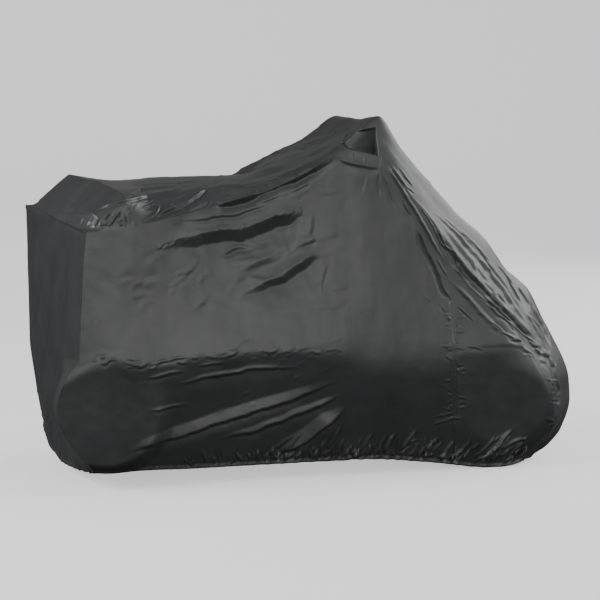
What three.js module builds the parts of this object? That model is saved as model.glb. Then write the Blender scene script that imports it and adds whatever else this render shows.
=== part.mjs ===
// A fitted cover for an all-terrain vehicle, in six panels of coated polyester cloth.
// It hangs as it does over the machine: from the rear rack over the seat, up to the handlebars,
// down a steep slope to the nose, and drawn in under the wheels by an elastic hem.
// Millimetres. X runs to the front of the vehicle, Y to its left, Z up.
import * as THREE from 'three';

// Cloth and sewing
const CLOTH = 2; // thickness of the sheet
const HEM_SWELL = 0.8; // how much prouder the turned hem stands
const HEM_SHARE = 0.975; // where the turned hem starts, as a share of a rib's way down
const SEAM_GAP = 0.3; // each panel ends this far short of its seam
const WIDEST = 0.55; // where a rib is widest, as a share of its way down
const ROUNDING = 0.09; // half the share of a rib that the bend at its widest takes

// Mesh pitch: the right side and the top carry the folds and are twice as fine.
const RIB_STEPS = 30;
const ROW_STEPS = 14;
const ACROSS_STEPS = 16;
const FINE = 2;
// Where the rows and columns of the mesh lie closer: shares of their count against shares of the way.
const ROW_PLACES = { count: [0, 0.29, 0.6, 1], way: [0, 0.19, 0.5, HEM_SHARE] };
const COLUMN_PLACES = { count: [0, 0.31, 0.69, 1], way: [0, 0.22, 0.78, 1] };

// Ribs of the skirt, from the rear corner to the nose corner, on the right side.
// top, wide and hem are points: x, half width, z. belly and tuck bow the cloth outwards above and
// below the widest line, heel pushes it back over the rear wheel (negative: forward at the nose).
// farX and farZ shift the left side's top, farWideX its widest line, farHemX and farHemZ its hem.
const RIB_COLUMNS = [
  'topX', 'topHalf', 'topZ', 'wideX', 'wideHalf', 'wideZ', 'hemX', 'hemHalf', 'hemZ',
  'belly', 'tuck', 'heel', 'farX', 'farZ', 'farWideX', 'farHemX', 'farHemZ', 'farHeel',
];
const RIBS = [
  [-945, 432, 970, -978, 466, 500, -915, 385, 80, 0, 8, 108, -66, 49, -18, -32, 50, 6],
  [-880, 433, 972, -900, 480, 503, -868, 375, 76, -4, 12, 60, -52, 42, -14, -14, 24, 4],
  [-775, 430, 985, -775, 490, 505, -755, 370, 73, -8, 14, 12, -25, 26, 0, 0, 4, 0],
  [-691, 425, 1000, -668, 490, 502, -645, 368, 72, -12, 12, 0, -10, 12, 0, 0, 0, 0],
  [-549, 415, 1030, -515, 489, 502, -495, 366, 70, -16, 8, 0, 0, 0, 0, 0, 0, 0],
  [-400, 400, 1066, -358, 490, 505, -340, 366, 70, -18, 6, 0, 4, 0, 0, 0, 0, 0],
  [-262, 392, 1101, -210, 491, 507, -200, 366, 70, -18, 6, 0, 10, 0, 0, 0, 0, 0],
  [-116, 385, 1158, -68, 492, 508, -64, 366, 70, -16, 6, 0, 18, 0, 0, 0, 0, 0],
  [27, 380, 1222, 80, 492, 508, 84, 368, 70, -14, 6, 0, 30, 0, 0, 0, 0, 0],
  [120, 384, 1205, 185, 491, 506, 180, 369, 68, -12, 6, 0, 42, 4, 0, 0, 0, 0],
  [205, 382, 1187, 275, 489, 503, 272, 370, 61, -12, 6, 0, 50, 6, 0, 0, 0, 0],
  [287, 385, 1119, 350, 486, 498, 350, 372, 52, -12, 6, 0, 48, 0, 0, 0, 0, 0],
  [359, 390, 1034, 412, 481, 494, 425, 374, 43, -10, 8, 0, 42, 0, 0, 0, 0, 0],
  [459, 395, 903, 475, 474, 491, 505, 376, 31, -8, 10, 0, 34, 0, 0, 0, 0, 0],
  [607, 400, 730, 602, 470, 470, 592, 378, 18, -4, 14, 0, 22, 0, 0, 0, 0, 0],
  [705, 405, 630, 702, 462, 430, 660, 378, 12, 0, 14, -8, 12, 0, 0, 0, 0, 0],
  [798, 405, 533, 795, 447, 375, 712, 378, 12, 0, 12, -24, 6, 0, 0, 0, 0, 0],
  [854, 405, 465, 856, 425, 315, 752, 377, 16, 0, 10, -42, 0, 0, 0, 0, 0, 0],
  [892, 405, 396, 904, 402, 262, 787, 375, 26, 0, 6, -58, 0, 0, 0, 0, 0, 0],
];
const SEAM_RIB = 13; // the upright seam between side and front panel

// Crossings of the top panel, one for each rib, from the rear seam to the top of the nose.
// side and farSide are the shoulders where the cloth turns over, mid is the middle line.
// lip bows the cheek between the panel's edge and its shoulder outwards.
const CROSSING_COLUMNS = [
  'sideX', 'sideHalf', 'sideZ', 'midX', 'midZ', 'farSideX', 'farSideHalf', 'farSideZ', 'lip',
];
const CROSSINGS = [
  [-957, 270, 980, -976, 996, -993, 260, 1010, 0],
  [-912, 385, 1034, -940, 1040, -964, 385, 1040, 18],
  [-803, 385, 1108, -822, 1134, -844, 385, 1140, 24],
  [-692, 335, 1092, -690, 1126, -705, 330, 1114, 6],
  [-553, 305, 1108, -562, 1140, -560, 300, 1114, 4],
  [-400, 280, 1122, -390, 1144, -372, 280, 1122, 4],
  [-258, 285, 1136, -225, 1148, -170, 285, 1128, 6],
  [-96, 305, 1194, -86, 1198, -58, 292, 1190, 12],
  [48, 328, 1268, 62, 1256, 84, 305, 1262, 14],
  [132, 340, 1328, 150, 1310, 168, 318, 1314, 10],
  [208, 334, 1380, 226, 1364, 258, 326, 1368, 8],
  [312, 312, 1254, 340, 1246, 362, 308, 1240, 12],
  [412, 290, 1150, 440, 1148, 452, 284, 1140, 10],
  [560, 258, 992, 596, 992, 590, 256, 984, 6],
  [694, 234, 885, 742, 878, 716, 236, 874, 2],
  [784, 224, 770, 836, 770, 800, 226, 764, 2],
  [876, 212, 698, 930, 692, 884, 214, 692, 4],
  [950, 228, 556, 1010, 560, 952, 228, 552, 8],
  [1018, 248, 426, 1070, 428, 1018, 245, 426, 12],
];

// Crossings of the nose, down the last rib. down is the share of that rib's way down.
const NOSE_COLUMNS = ['down', ...CROSSING_COLUMNS];
const NOSE = [
  [0, 1018, 248, 426, 1070, 428, 1018, 245, 426, 12],
  [0.3, 1046, 250, 332, 1091, 338, 1046, 250, 332, 14],
  [0.55, 1052, 252, 246, 1094, 254, 1052, 252, 246, 14],
  [0.8, 1012, 262, 134, 1058, 142, 1012, 262, 134, 12],
  [0.93, 944, 276, 66, 994, 70, 944, 276, 66, 8],
  [1, 872, 292, 32, 920, 34, 872, 292, 32, 2],
];
const ACROSS_KNOTS = [0, 0.1, 0.22, 0.5, 0.78, 0.9, 1];
const LIP_TURN = 0.7; // share of the lip that goes sideways, and as much upwards
const HEEL_SHAPE = 0.85; // below 1, the heel sits nearer the widest line

// Rear hem between its two corners, from right to left: x, y, z.
const REAR_HEM = [
  [-936, -200, 58],
  [-952, 0, 52],
  [-960, 220, 74],
];
const REAR_BULGE = 20; // how far the rear panel stands out between its edges
const CORNER_REACH = 0.42; // share of the rear panel over which a corner's bend dies out

// Wheels under the cloth: where each pushes the tucked skirt out. half is how far out its face
// stands at the height `full`, lean is the face's slope inwards below that.
const WHEEL_COLUMNS = ['x', 'z', 'radius', 'half', 'full', 'lean', 'edge'];
const WHEELS = [
  [-862, 300, 246, 482, 411, 0.14, 100],
  [690, 260, 234, 472, 366, 0.18, 100],
];

// Folds. Each runs from (fromA, fromB) to (toA, toB) on its face: x and z on a side, x and y on
// the top, y and z on the rear. depth is outwards, and negative for a trough. lap makes a step
// that overhangs: out on the upper side of the line, in below it. bow lifts the line's middle.
const FOLD_COLUMNS = ['face', 'fromA', 'fromB', 'toA', 'toB', 'width', 'depth', 'lap', 'bow'];
const FOLDS = [
  ['right', -745, 888, -80, 1022, 32, -12, 34, -22],
  ['right', -462, 858, -280, 900, 18, -3, 12, 0],
  ['right', -500, 1036, 50, 1222, 20, -8, 16, -14],
  ['right', -620, 1000, -430, 1060, 20, 10, 0, 0],
  ['right', -420, 680, -10, 884, 30, -10, 34, 14],
  ['right', -560, 600, -120, 700, 34, 8, 0, 8],
  ['right', -850, 146, -60, 360, 30, 6, 30, 12],
  ['right', -640, 376, -80, 470, 26, 4, 16, 10],
  ['right', -740, 424, -420, 492, 20, 8, 6, 0],
  ['right', -210, 210, 80, 392, 24, 6, 16, 8],
  ['right', -210, 140, 80, 290, 24, 8, 14, 8],
  ['right', 222, 1170, 330, 965, 24, -13, 0, 8],
  ['right', 280, 1100, 486, 680, 22, -14, -18, -18],
  ['right', 460, 860, 700, 560, 20, -8, -10, 0],
  ['right', 540, 760, 780, 520, 20, 6, -14, 0],
  ['right', 640, 700, 850, 500, 18, 8, -8, 0],
  ['right', 40, 1262, 250, 1286, 44, -62, 0, 0],
  ['right', 30, 1226, 240, 1192, 18, 14, 0, 0],
  ['top', -905, -340, -905, 340, 36, -14, 0, 0],
  ['top', -650, -250, -110, -340, 30, 10, 8, 12],
  ['top', -580, -120, -60, -260, 30, -10, 0, 0],
  ['top', -500, 140, -40, 270, 32, -10, 0, 0],
  ['top', 290, -310, 880, -190, 28, -12, 12, 16],
  ['top', 350, -215, 920, -80, 30, 13, 0, 12],
  ['top', 320, -70, 920, 20, 30, -12, 8, 0],
  ['top', 330, 110, 900, 150, 32, 12, 0, 0],
  ['top', 320, 285, 800, 300, 30, -12, 0, 0],
  ['rear', -300, 900, -120, 250, 60, 7, 0, 0],
  ['rear', 180, 850, 320, 300, 60, -7, 0, 0],
  ['left', -700, 900, -60, 1030, 50, -10, 22, -16],
  ['left', -400, 640, 60, 860, 50, -10, 14, 0],
  ['left', -780, 180, -60, 370, 50, 8, 16, 0],
  ['left', 330, 1050, 560, 620, 46, -16, 0, 0],
];

// Gathers that the elastic hem draws in: waves round the skirt that fade out up it.
const GATHERS = { pitch: 118, depth: 6, reach: 150, lean: 0.5, turnRadius: 620 };

// Slow unevenness of slack cloth
const SLACK = { depth: 2.4, length: 310, start: 1.3 };

// How steeply a face may turn away before its folds fade out, as shares of facing it squarely
const FACING = { none: 0.15, full: 0.5 };
const WHEEL_FACING = { none: 0.66, full: 0.92 };
const FOLD_TAPER = 0.8; // below 1, a fold keeps its depth longer towards its ends

const cloth = new THREE.MeshStandardMaterial({ color: 0x3a3b3c, roughness: 0.55, metalness: 0 });
const sideCloth = new THREE.MeshStandardMaterial({ color: 0x444546, roughness: 0.55, metalness: 0 });
const endCloth = new THREE.MeshStandardMaterial({ color: 0x343536, roughness: 0.6, metalness: 0 });

const named = (columns, row) => Object.fromEntries(columns.map((name, i) => [name, row[i]]));
const ribs = RIBS.map((row) => named(RIB_COLUMNS, row));
const crossings = CROSSINGS.map((row) => named(CROSSING_COLUMNS, row));
const nose = NOSE.map((row) => named(NOSE_COLUMNS, row));
const wheels = WHEELS.map((row) => named(WHEEL_COLUMNS, row));
const folds = FOLDS.map((row) => named(FOLD_COLUMNS, row));

const mix = THREE.MathUtils.lerp;
const smooth = THREE.MathUtils.smoothstep;
const point = (x, y, z) => new THREE.Vector3(x, y, z);

// Value at `at` of a smooth curve through values[i] at knots[i], with slopes limited so that
// it doesn't swing past its points.
function through(knots, values, at) {
  const last = knots.length - 1;
  let i = 0;
  while (i < last - 1 && at > knots[i + 1]) i += 1;
  const slope = (k) => {
    if (k === 0) return (values[1] - values[0]) / (knots[1] - knots[0]);
    if (k === last) return (values[last] - values[last - 1]) / (knots[last] - knots[last - 1]);
    const before = (values[k] - values[k - 1]) / (knots[k] - knots[k - 1]);
    const after = (values[k + 1] - values[k]) / (knots[k + 1] - knots[k]);
    return before * after <= 0 ? 0 : (2 * before * after) / (before + after);
  };
  const span = knots[i + 1] - knots[i];
  const t = (at - knots[i]) / span;
  const t2 = t * t;
  const t3 = t2 * t;
  return (
    (2 * t3 - 3 * t2 + 1) * values[i] +
    (t3 - 2 * t2 + t) * span * slope(i) +
    (-2 * t3 + 3 * t2) * values[i + 1] +
    (t3 - t2) * span * slope(i + 1)
  );
}

// Way along the panel's top edge at each rib, from 0 at the rear corner to 1 at the nose corner.
// The widest line counts too, by WIDE_WEIGHT, so that ribs don't crowd where the top edge is short.
const WIDE_WEIGHT = 0.5;
const ribWay = ribs.map(() => 0);
for (let i = 1; i < ribs.length; i += 1) {
  const a = ribs[i - 1];
  const b = ribs[i];
  const wideStep = WIDE_WEIGHT * (b.wideX - a.wideX);
  ribWay[i] = ribWay[i - 1] + Math.hypot(b.topX - a.topX, b.topZ - a.topZ, wideStep);
}
const wayLength = ribWay[ribs.length - 1];
const ribKnots = ribWay.map((way) => way / wayLength);
const ribValue = (name, along) => through(ribKnots, ribs.map((rib) => rib[name]), along);
const crossingValue = (name, along) => through(ribKnots, crossings.map((row) => row[name]), along);
const noseKnots = nose.map((row) => row.down);
const noseValue = (name, down) => through(noseKnots, nose.map((row) => row[name]), down);

// Straight from a over b to c, with the bend at b rounded. `at` is WIDEST at b.
function bent(a, b, c, at) {
  const from = WIDEST - ROUNDING;
  const to = WIDEST + ROUNDING;
  const upper = (s) => mix(a, b, s / WIDEST);
  const lower = (s) => mix(b, c, (s - WIDEST) / (1 - WIDEST));
  if (at <= from) return upper(at);
  if (at >= to) return lower(at);
  const t = (at - from) / (to - from);
  return mix(mix(upper(from), b, t), mix(b, lower(to), t), t);
}

// Point of the skirt: along from rear to front, down from the top edge to the hem.
// side is -1 on the right and 1 on the left.
function skirtPoint(side, along, down) {
  const far = side > 0;
  const value = (name) => ribValue(name, along);
  const topX = value('topX') + (far ? value('farX') : 0);
  const topZ = value('topZ') + (far ? value('farZ') : 0);
  const hemX = value('hemX') + (far ? value('farHemX') : 0);
  const hemZ = value('hemZ') + (far ? value('farHemZ') : 0);
  const upper = Math.sin(Math.PI * Math.min(down / WIDEST, 1));
  const lower = Math.sin(Math.PI * Math.max((down - WIDEST) / (1 - WIDEST), 0) ** HEEL_SHAPE);
  const half =
    bent(value('topHalf'), value('wideHalf'), value('hemHalf'), down) +
    value('belly') * upper +
    value('tuck') * lower;
  const wideX = value('wideX') + (far ? value('farWideX') : 0);
  const x = bent(topX, wideX, hemX, down) - value(far ? 'farHeel' : 'heel') * lower;
  return point(x, side * half, bent(topZ, value('wideZ'), hemZ, down));
}

// Point of a crossing: across from the right edge (0) over the middle to the left edge (1).
function crossingPoint(edgeRight, edgeLeft, value, across) {
  const shoulder = point(value('sideX'), -value('sideHalf'), value('sideZ'));
  const farShoulder = point(value('farSideX'), value('farSideHalf'), value('farSideZ'));
  const cheek = edgeRight.clone().lerp(shoulder, 0.5);
  const farCheek = edgeLeft.clone().lerp(farShoulder, 0.5);
  const turn = value('lip') * LIP_TURN;
  cheek.add(point(0, -turn, turn));
  farCheek.add(point(0, turn, turn));
  const middle = point(value('midX'), 0, value('midZ'));
  const line = [edgeRight, cheek, shoulder, middle, farShoulder, farCheek, edgeLeft];
  const axis = (name) => through(ACROSS_KNOTS, line.map((p) => p[name]), across);
  return point(axis('x'), axis('y'), axis('z'));
}

// Point of the top panel: row 0 to 1 runs over the ribs, 1 to 2 down the nose.
function topPoint(row, across) {
  if (row <= 1) {
    const value = (name) => crossingValue(name, row);
    return crossingPoint(skirtPoint(-1, row, 0), skirtPoint(1, row, 0), value, across);
  }
  const down = row - 1;
  const value = (name) => noseValue(name, down);
  return crossingPoint(skirtPoint(-1, 1, down), skirtPoint(1, 1, down), value, across);
}

// Point of the rear panel: ruled from its top seam to the hem, with the bend of each corner rib
// dying out towards the middle.
function rearPoint(down, across) {
  const top = topPoint(0, across);
  const corners = [-1, 1].map((side) => skirtPoint(side, 0, 1).toArray());
  const hem = [corners[0], ...REAR_HEM, corners[1]];
  const hemKnots = hem.map((p, i) => i / (hem.length - 1));
  const axis = (i) => through(hemKnots, hem.map((p) => p[i]), across);
  const base = top.lerp(point(axis(0), axis(1), axis(2)), down);
  [-1, 1].forEach((side) => {
    const corner = skirtPoint(side, 0, down);
    const ruled = skirtPoint(side, 0, 0).lerp(skirtPoint(side, 0, 1), down);
    const away = side < 0 ? across : 1 - across;
    base.addScaledVector(corner.sub(ruled), 1 - smooth(away, 0, CORNER_REACH));
  });
  base.x -= REAR_BULGE * Math.sin(Math.PI * down) * Math.sin(Math.PI * across);
  return base;
}

// Shares of the way down for each row of a panel, the last for the turned hem.
function rowShares(fine) {
  const steps = ROW_STEPS * fine;
  const place = (_, i) => through(ROW_PLACES.count, ROW_PLACES.way, i / steps);
  return [...Array.from({ length: steps + 1 }, place), 1];
}

// Shares of the way along between two ribs of the mesh.
const alongShares = (fine, first, last) =>
  Array.from({ length: (last - first) * fine + 1 }, (_, i) => (first * fine + i) / (RIB_STEPS * fine));
const acrossShares = Array.from({ length: ACROSS_STEPS + 1 }, (_, i) =>
  through(COLUMN_PLACES.count, COLUMN_PLACES.way, i / ACROSS_STEPS));

// How much of a face's folds reach a point whose outward direction is given.
function facing(face, normal) {
  const toward = { right: -normal.y, left: normal.y, top: normal.z, rear: -normal.x }[face];
  return smooth(toward, FACING.none, FACING.full);
}

// Height of one fold at a place on its face.
function foldHeight(fold, a, b) {
  const runA = fold.toA - fold.fromA;
  const runB = fold.toB - fold.fromB;
  const length = Math.hypot(runA, runB);
  const share = ((a - fold.fromA) * runA + (b - fold.fromB) * runB) / (length * length);
  if (share <= 0 || share >= 1) return 0;
  const off = ((b - fold.fromB) * runA - (a - fold.fromA) * runB) / length;
  const from = (off - fold.bow * Math.sin(Math.PI * share)) / fold.width;
  const profile = (fold.depth + fold.lap * from) * Math.exp(-from * from);
  return profile * Math.sin(Math.PI * share) ** FOLD_TAPER;
}

// How far a wheel pushes the tucked skirt out at a place on a side.
function wheelPush(wheel, place) {
  const radius = Math.hypot(place.x - wheel.x, place.z - wheel.z);
  const reach = smooth(wheel.radius - radius, 0, wheel.edge);
  const faceHalf = wheel.half + wheel.lean * Math.min(place.z - wheel.full, 0);
  return reach * Math.max(faceHalf - Math.abs(place.y), 0);
}

// Height of every fold, wave and gather over the plain form, at a place facing `normal`.
function relief(place, normal) {
  let height = 0;
  folds.forEach((fold) => {
    const a = fold.face === 'rear' ? place.y : place.x;
    const b = fold.face === 'top' ? place.y : place.z;
    height += facing(fold.face, normal) * foldHeight(fold, a, b);
  });
  const sideways = smooth(Math.abs(normal.y), WHEEL_FACING.none, WHEEL_FACING.full);
  wheels.forEach((wheel) => {
    height += sideways * wheelPush(wheel, place);
  });
  const way = Math.atan2(place.y, place.x) * GATHERS.turnRadius + place.x + GATHERS.lean * place.z;
  const gathered = smooth(GATHERS.reach - place.z, 0, GATHERS.reach);
  height += GATHERS.depth * gathered * Math.sin((2 * Math.PI * way) / GATHERS.pitch);
  const slack = Math.cos((place.z + place.y) / SLACK.length);
  return height + SLACK.depth * slack * Math.sin(place.x / SLACK.length + SLACK.start);
}

// One panel's net of points. outward is 1 where rows x columns point out, and -1 where they
// point in. coarse names the edges that meet a panel with half as many points.
function panelNet(name, material, outward, rowCount, columnCount, place, coarse) {
  const points = [];
  for (let r = 0; r < rowCount; r += 1) {
    points.push(Array.from({ length: columnCount }, (_, c) => place(r, c)));
  }
  return { name, material, outward, points, coarse, rows: rowCount, columns: columnCount };
}

function skirtNet(name, material, side, fine, first, last, coarse) {
  const rows = rowShares(fine);
  const along = alongShares(fine, first, last);
  const place = (r, c) => skirtPoint(side, along[c], rows[r]);
  return panelNet(name, material, -side, rows.length, along.length, place, coarse);
}

const seamStep = Math.round(ribKnots[SEAM_RIB] * RIB_STEPS);
const topRows = [
  ...alongShares(FINE, 0, RIB_STEPS),
  ...rowShares(FINE).slice(1).map((down) => 1 + down),
];
const rearRows = rowShares(1);
const nets = [
  skirtNet('side_panel_right', sideCloth, -1, FINE, 0, seamStep, ['firstColumn']),
  skirtNet('front_panel_right', sideCloth, -1, FINE, seamStep, RIB_STEPS, []),
  skirtNet('side_panel_left', sideCloth, 1, 1, 0, seamStep, []),
  skirtNet('front_panel_left', sideCloth, 1, 1, seamStep, RIB_STEPS, []),
  panelNet('top_panel', cloth, 1, topRows.length, acrossShares.length,
    (r, c) => topPoint(topRows[r], acrossShares[c]), ['lastColumn']),
  panelNet('rear_panel', endCloth, -1, rearRows.length, acrossShares.length,
    (r, c) => rearPoint(rearRows[r], acrossShares[c]), []),
];

// Outward directions, shared by panels that meet at a seam: points closer than a step are one.
const SAME_PLACE = 0.01;
const placeKey = (p) => [p.x, p.y, p.z].map((v) => Math.round(v / SAME_PLACE)).join(' ');

function sharedNormals() {
  const sums = new Map();
  nets.forEach((net) => {
    for (let r = 0; r + 1 < net.rows; r += 1) {
      for (let c = 0; c + 1 < net.columns; c += 1) {
        const corners = [[r, c], [r, c + 1], [r + 1, c], [r + 1, c + 1]].map(([i, j]) => net.points[i][j]);
        const [a, b, d, e] = corners;
        const area = e.clone().sub(a).cross(b.clone().sub(d)).multiplyScalar(net.outward);
        corners.forEach((corner) => {
          const key = placeKey(corner);
          if (!sums.has(key)) sums.set(key, point(0, 0, 0));
          sums.get(key).add(area);
        });
      }
    }
  });
  nets.forEach((net) => {
    net.normals = net.points.map((row) => row.map((p) => sums.get(placeKey(p)).clone().normalize()));
  });
}

// On an edge that meets a coarser panel, every second point lies on its neighbours' chord.
function settleCoarseEdges(net, list) {
  const column = net.coarse.includes('firstColumn') ? 0 : net.columns - 1;
  if (!net.coarse.length) return;
  for (let r = 1; r + 1 < net.rows - 1; r += 2) {
    list[r][column].copy(list[r - 1][column]).add(list[r + 1][column]).multiplyScalar(0.5);
  }
}

sharedNormals();
nets.forEach((net) => {
  net.points = net.points.map((row, r) =>
    row.map((p, c) => p.clone().addScaledVector(net.normals[r][c], relief(p, net.normals[r][c]))));
  settleCoarseEdges(net, net.points);
});
sharedNormals();
nets.forEach((net) => settleCoarseEdges(net, net.normals));

// Draws a point on a seam a little into its own panel, square to the seam.
function drawnIn(net, r, c, list) {
  const here = list[r][c];
  const lastRow = net.rows - 1;
  const lastColumn = net.columns - 1;
  const move = point(0, 0, 0);
  const away = (inside, before, after) => {
    const seam = after.clone().sub(before).normalize();
    const step = inside.clone().sub(here);
    move.add(step.addScaledVector(seam, -step.dot(seam)).normalize());
  };
  const acrossSeam = (inside) =>
    away(list[r][inside], list[Math.max(r - 1, 0)][c], list[Math.min(r + 1, lastRow)][c]);
  if (r === 0) away(list[1][c], list[0][Math.max(c - 1, 0)], list[0][Math.min(c + 1, lastColumn)]);
  if (c === 0) acrossSeam(1);
  if (c === lastColumn) acrossSeam(lastColumn - 1);
  return here.clone().addScaledVector(move, SEAM_GAP);
}

// The panel as a closed sheet: its outer net, its inner net and the edges between them.
function panelMesh(net) {
  const inner = net.points.map((row, r) =>
    row.map((p, c) => p.clone().addScaledVector(net.normals[r][c], -CLOTH)));
  const outer = net.points.map((row, r) =>
    row.map((p, c) => {
      const swell = r >= net.rows - 2 ? HEM_SWELL : 0;
      return p.clone().addScaledVector(net.normals[r][c], swell);
    }));
  const positions = [];
  [outer, inner].forEach((layer) => {
    layer.forEach((row, r) => row.forEach((p, c) => positions.push(...drawnIn(net, r, c, layer).toArray())));
  });
  const count = net.rows * net.columns;
  const at = (layer, r, c) => layer * count + r * net.columns + c;
  const faces = [];
  const splitQuad = (a, b, c, d) => {
    const halves = [a, b, c, a, c, d];
    faces.push(...(net.outward > 0 ? halves : halves.reverse()));
  };
  const shortSplitQuad = (a, b, c, d) => {
    const corner = (i) => point(positions[3 * i], positions[3 * i + 1], positions[3 * i + 2]);
    const shorter = corner(a).distanceTo(corner(c)) <= corner(b).distanceTo(corner(d));
    splitQuad(...(shorter ? [a, b, c, d] : [b, c, d, a]));
  };
  for (let r = 0; r + 1 < net.rows; r += 1) {
    for (let c = 0; c + 1 < net.columns; c += 1) {
      shortSplitQuad(at(0, r, c), at(0, r + 1, c), at(0, r + 1, c + 1), at(0, r, c + 1));
      shortSplitQuad(at(1, r, c), at(1, r, c + 1), at(1, r + 1, c + 1), at(1, r + 1, c));
    }
  }
  // Both panels at a seam split their edge faces alike, so that the faces lie side by side.
  const lastRow = net.rows - 1;
  const lastColumn = net.columns - 1;
  for (let c = 0; c < lastColumn; c += 1) {
    splitQuad(at(0, 0, c), at(0, 0, c + 1), at(1, 0, c + 1), at(1, 0, c));
    splitQuad(at(0, lastRow, c), at(1, lastRow, c), at(1, lastRow, c + 1), at(0, lastRow, c + 1));
  }
  for (let r = 0; r < lastRow; r += 1) {
    splitQuad(at(0, r, 0), at(1, r, 0), at(1, r + 1, 0), at(0, r + 1, 0));
    splitQuad(at(0, r, lastColumn), at(0, r + 1, lastColumn), at(1, r + 1, lastColumn), at(1, r, lastColumn));
  }
  const geometry = new THREE.BufferGeometry();
  geometry.setAttribute('position', new THREE.Float32BufferAttribute(positions, 3));
  geometry.setIndex(faces);
  geometry.computeVertexNormals();
  const mesh = new THREE.Mesh(geometry, net.material);
  mesh.name = net.name;
  return mesh;
}

const cover = new THREE.Group();
nets.forEach((net) => cover.add(panelMesh(net)));

// The frame's origin is under the middle of the cover, level with its lowest hem.
const box = new THREE.Box3().setFromObject(cover);
cover.position.set(-(box.min.x + box.max.x) / 2, -(box.min.y + box.max.y) / 2, -box.min.z);

export default cover;
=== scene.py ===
"""A fitted cover for an all-terrain vehicle, sewn from six panels of coated polyester cloth.
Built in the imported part's frame, in metres: +X to the front, +Y to the left, +Z up."""
import math
import bpy
import numpy as np
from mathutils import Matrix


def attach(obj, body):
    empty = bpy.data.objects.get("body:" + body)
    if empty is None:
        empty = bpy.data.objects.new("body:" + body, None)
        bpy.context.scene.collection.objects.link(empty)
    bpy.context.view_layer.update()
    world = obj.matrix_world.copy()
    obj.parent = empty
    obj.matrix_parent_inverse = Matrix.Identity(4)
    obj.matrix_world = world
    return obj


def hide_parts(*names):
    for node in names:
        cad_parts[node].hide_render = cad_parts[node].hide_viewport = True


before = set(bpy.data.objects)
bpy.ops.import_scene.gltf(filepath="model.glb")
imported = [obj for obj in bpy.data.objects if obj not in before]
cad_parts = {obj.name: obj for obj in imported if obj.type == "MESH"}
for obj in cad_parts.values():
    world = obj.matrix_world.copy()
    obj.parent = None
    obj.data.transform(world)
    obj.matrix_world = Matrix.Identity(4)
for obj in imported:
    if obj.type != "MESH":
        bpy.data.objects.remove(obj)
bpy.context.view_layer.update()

# The view
# A standing camera a little behind and to the right of the cover, well back, with a long lens.
VIEW_AZIMUTH = math.radians(-17.0)
VIEW_RISE = math.radians(6.0)
VIEW_DISTANCE = 8.5
VIEW_AIM = np.array([-0.0164, 0.0007, 0.6397])
VIEW_LENS = 129.1  # millimetres
SENSOR = 36.0  # millimetres wide
view_back = np.array([
    math.sin(VIEW_AZIMUTH) * math.cos(VIEW_RISE),
    -math.cos(VIEW_AZIMUTH) * math.cos(VIEW_RISE),
    math.sin(VIEW_RISE),
])
view_right = np.array([math.cos(VIEW_AZIMUTH), math.sin(VIEW_AZIMUTH), 0.0])
view_up = np.cross(view_back, view_right)


def placed(name, data):
    """A new object in the scene."""
    made = bpy.data.objects.new(name, data)
    bpy.context.scene.collection.objects.link(made)
    return made


camera_data = bpy.data.cameras.new("camera")
camera_data.lens = VIEW_LENS
camera_data.sensor_width = SENSOR
camera_data.clip_end = 100.0
camera = placed("camera", camera_data)
camera.location = VIEW_AIM + view_back * VIEW_DISTANCE
camera.rotation_euler = (math.pi / 2 - VIEW_RISE, 0.0, VIEW_AZIMUTH)
bpy.context.scene.camera = camera

# The floor
# A plain pale studio floor, level under the cover, that curves up into a wall well away from it on
# every side.
FLOOR_RADIUS = 10.0
SWEEP_RADIUS = 5.0
SWEEP_STEPS = 24
WALL_TOP = 18.0
FLOOR_TURNS = 96
FLOOR_TONE = (0.60, 0.60, 0.60, 1.0)
FLOOR_GLOW = 0.72  # light of its own, so that it stays even and pale
floor_profile = [(radius, 0.0) for radius in (0.5, 3.0, 6.5, 9.7, FLOOR_RADIUS)]
for step in range(1, SWEEP_STEPS + 1):
    turn = 0.5 * math.pi * step / SWEEP_STEPS
    out, up = SWEEP_RADIUS * math.sin(turn), SWEEP_RADIUS * (1 - math.cos(turn))
    floor_profile.append((FLOOR_RADIUS + out, up))
floor_profile.append((FLOOR_RADIUS + SWEEP_RADIUS, WALL_TOP))
floor_points = [(0.0, 0.0, 0.0)]
floor_faces = []
for ring, (radius, height) in enumerate(floor_profile):
    for turn in range(FLOOR_TURNS):
        angle = 2 * math.pi * turn / FLOOR_TURNS
        floor_points.append((radius * math.cos(angle), radius * math.sin(angle), height))
        here = 1 + ring * FLOOR_TURNS + turn
        after = 1 + ring * FLOOR_TURNS + (turn + 1) % FLOOR_TURNS
        if ring == 0:
            floor_faces.append((0, here, after))
        else:
            floor_faces.append((here - FLOOR_TURNS, here, after, after - FLOOR_TURNS))
floor_mesh = bpy.data.meshes.new("floor")
floor_mesh.from_pydata(floor_points, [], floor_faces)
floor_mesh.shade_smooth()
floor = placed("floor", floor_mesh)
floor_paint = bpy.data.materials.new("pale floor")
floor_paint.use_nodes = True
floor_shader = floor_paint.node_tree.nodes["Principled BSDF"]
for socket, value in {
    "Base Color": FLOOR_TONE, "Roughness": 0.9, "Specular IOR Level": 0.1,
    "Emission Color": (1.0, 1.0, 1.0, 1.0), "Emission Strength": FLOOR_GLOW,
}.items():
    floor_shader.inputs[socket].default_value = value
floor_mesh.materials.append(floor_paint)
floor.visible_diffuse = False
floor.visible_glossy = False
floor.visible_shadow = False

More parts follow.
